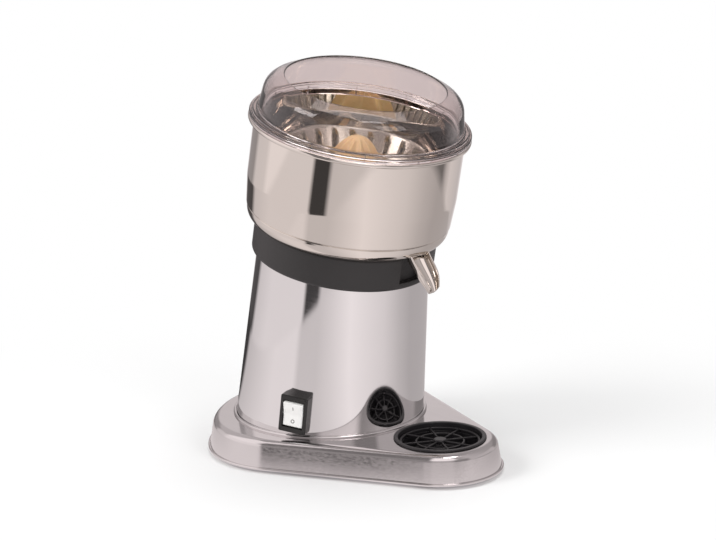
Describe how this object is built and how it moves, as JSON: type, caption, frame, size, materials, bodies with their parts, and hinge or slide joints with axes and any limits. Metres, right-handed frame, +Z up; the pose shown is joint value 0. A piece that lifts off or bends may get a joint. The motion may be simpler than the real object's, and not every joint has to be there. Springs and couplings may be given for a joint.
{
  "type": "citrus press",
  "caption": "Electric citrus press: leaning polished motor column on a teardrop base, with a steel bowl and spout, strainer, ribbed reamer, clear splash dome, drip tray and switch.",
  "frame": {"origin": "on the table, under the middle of the base's outline", "axes": "+X from the column towards the spout and drip tray, +Z up; the motor's axis lies in the XZ plane and tilts 11.5 degrees towards +X"},
  "size_m": [0.294, 0.23, 0.3512],
  "materials": {
    "polished_casting": "cast aluminium, polished",
    "polished_column": "spun aluminium, mirror polished",
    "satin_black": "moulded nylon, matt",
    "switch_black": "moulded, half gloss",
    "stainless": "pressed stainless steel, polished",
    "strainer_steel": "pressed stainless steel, satin",
    "clear_dome": "clear polycarbonate",
    "reamer_cream": "moulded acetal, satin",
    "tray_black": "moulded, fine grain",
    "rubber": "soft rubber",
    "zinc": "zinc plated steel",
    "machined_plate": "turned aluminium",
    "cast_bracket": "die cast, raw",
    "lamination": "stacked sheet steel",
    "copper": "enamelled copper wire",
    "shaft_steel": "ground steel",
    "fan_grey": "moulded nylon",
    "can_white": "moulded can",
    "terminal_cream": "moulded nylon",
    "cover_zinc": "zinc plated sheet"
  },
  "bodies": {
    "root": {"base_casting": "polished_casting", "bottom_cover": "cover_zinc", "rubber_feet": "rubber", "cover_screws": "zinc", "column_shell": "polished_column", "column_screws": "zinc", "collar": "satin_black", "collar_screws": "zinc", "motor_plate": "machined_plate", "plate_screws": "zinc", "motor_screws": "zinc", "upper_bracket": "cast_bracket", "lower_bracket": "cast_bracket", "stator_core": "lamination", "stator_windings": "copper", "through_bolts": "zinc", "upper_bearing": "shaft_steel", "lower_bearing": "shaft_steel", "shaft_seal": "rubber", "switch_housing": "switch_black", "cord_gland": "satin_black", "gland_nut": "satin_black", "capacitor": "can_white", "capacitor_clip": "zinc", "terminal_block": "terminal_cream"},
    "spindle": {"drive_shaft": "shaft_steel", "drive_pin": "shaft_steel", "rotor": "lamination", "cooling_fan": "fan_grey"},
    "bowl_unit": {"bowl": "stainless", "bowl_tube": "stainless", "bowl_spout": "stainless"},
    "strainer_unit": {"strainer": "strainer_steel"},
    "reamer_unit": {"reamer": "reamer_cream"},
    "dome_unit": {"splash_dome": "clear_dome"},
    "cup_unit": {"drip_cup": "tray_black"},
    "grille_unit": {"drip_grille": "tray_black"},
    "rocker_unit": {"switch_rocker": "switch_black"}
  },
  "joints": [
    {"name": "shaft_spin", "type": "hinge", "parent": "root", "child": "spindle", "pos_m": [-0.03685, 0, 0.10006], "axis": [0.1994, 0, 0.9799], "continuous": true},
    {"name": "bowl_lift", "type": "slide", "parent": "root", "child": "bowl_unit", "axis": [0.1994, 0, 0.9799], "range_m": [0, 0.08]},
    {"name": "strainer_lift", "type": "slide", "parent": "bowl_unit", "child": "strainer_unit", "axis": [0.1994, 0, 0.9799], "range_m": [0, 0.05]},
    {"name": "reamer_spin", "type": "hinge", "parent": "strainer_unit", "child": "reamer_unit", "pos_m": [-0.00893, 0, 0.23724], "axis": [0.1994, 0, 0.9799], "continuous": true},
    {"name": "dome_lift", "type": "slide", "parent": "strainer_unit", "child": "dome_unit", "axis": [0.1994, 0, 0.9799], "range_m": [0, 0.05]},
    {"name": "cup_lift", "type": "slide", "parent": "root", "child": "cup_unit", "axis": [0, 0, 1], "range_m": [0, 0.05]},
    {"name": "grille_lift", "type": "slide", "parent": "cup_unit", "child": "grille_unit", "axis": [0, 0, 1], "range_m": [0, 0.04]},
    {"name": "switch_rock", "type": "hinge", "parent": "root", "child": "rocker_unit", "pos_m": [-0.00466, -0.08498, 0.053], "axis": [-0.9265, -0.3556, 0.123], "range_deg": [0, 18]}
  ],
  "couplings": [
    {"joint": "reamer_spin", "follows": "shaft_spin", "ratio": 1}
  ]
}
